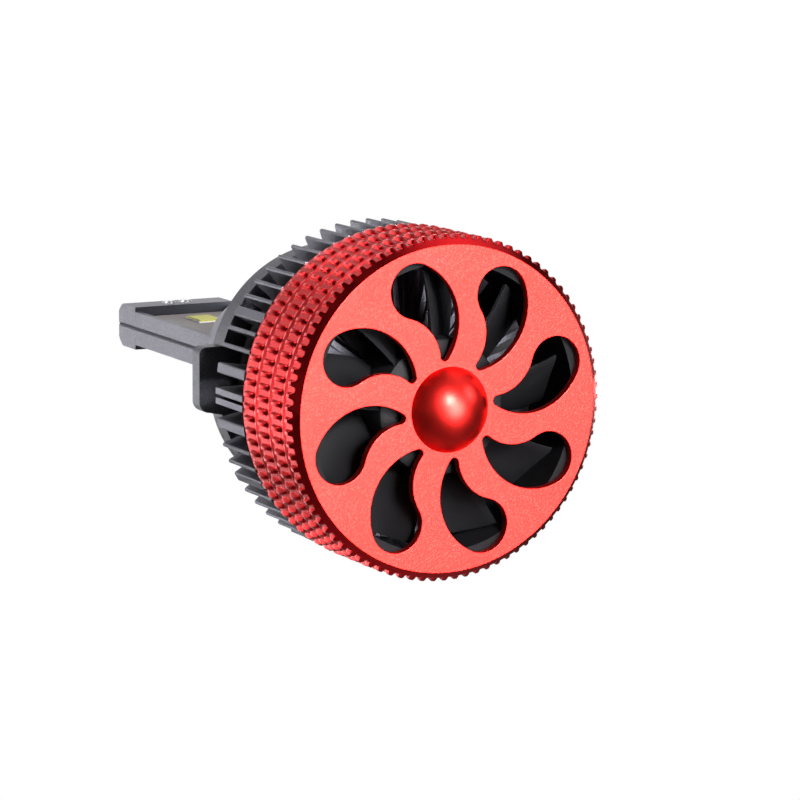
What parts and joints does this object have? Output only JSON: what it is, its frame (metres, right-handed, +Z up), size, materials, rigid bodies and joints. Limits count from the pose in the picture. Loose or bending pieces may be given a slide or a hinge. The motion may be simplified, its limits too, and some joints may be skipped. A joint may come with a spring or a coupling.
{
  "type": "LED headlight bulb",
  "caption": "LED headlight bulb with a red knurled fan cap, finned heat sink, turning mounting collar and flat LED stem.",
  "frame": {"origin": "on the bulb's axis, in the plane of the collar face that seats in the lamp", "axes": "+Y from the fan cap to the tip of the LED stem; +Z up, square to the upper LED; +X away from the locating tab"},
  "size_m": [0.0369, 0.0741, 0.036],
  "materials": {
    "cap_red": "red anodised, satin",
    "sink_grey": "dark grey anodised casting",
    "fan_plastic": "moulded",
    "steel": "plated",
    "bronze": "sintered",
    "magnet": "matte",
    "copper": "bare copper",
    "board_green": "solder mask",
    "board_tan": "solder mask",
    "ceramic": "ceramic",
    "phosphor": "yellow phosphor",
    "black_part": "moulded",
    "rubber": "matte"
  },
  "bodies": {
    "bulb": {"fan_cap": "cap_red", "cap_dome": "cap_red", "fan_frame": "fan_plastic", "fan_bearing": "bronze", "stator_core": "magnet", "stator_coil_1": "copper", "stator_coil_2": "copper", "stator_coil_3": "copper", "stator_coil_4": "copper", "fan_board": "board_green", "heat_sink_upper": "sink_grey", "heat_sink_lower": "sink_grey", "core_plate": "copper", "led_board_upper": "board_tan", "led_board_lower": "board_tan", "led_base_upper": "ceramic", "led_base_lower": "ceramic", "led_upper": "phosphor", "led_lower": "phosphor", "driver_board": "board_green", "driver_capacitor": "black_part", "driver_inductor": "black_part", "driver_chip": "black_part", "half_screw_left": "steel", "half_screw_right": "steel", "tip_rivet_left": "steel", "tip_rivet_right": "steel", "cable_grommet": "rubber", "seal_ring": "rubber"},
    "rotor": {"fan_rotor": "fan_plastic", "rotor_magnet": "magnet", "rotor_shaft": "steel", "shaft_clip": "steel"},
    "collar": {"mounting_collar": "sink_grey", "collar_screw": "steel"}
  },
  "joints": [
    {"name": "fan_spin", "type": "hinge", "parent": "bulb", "child": "rotor", "pos_m": [0, -0.0235, 0], "axis": [0, 1, 0], "continuous": true},
    {"name": "collar_turn", "type": "hinge", "parent": "bulb", "child": "collar", "pos_m": [0, -0.00125, 0], "axis": [0, 1, 0], "continuous": true}
  ]
}
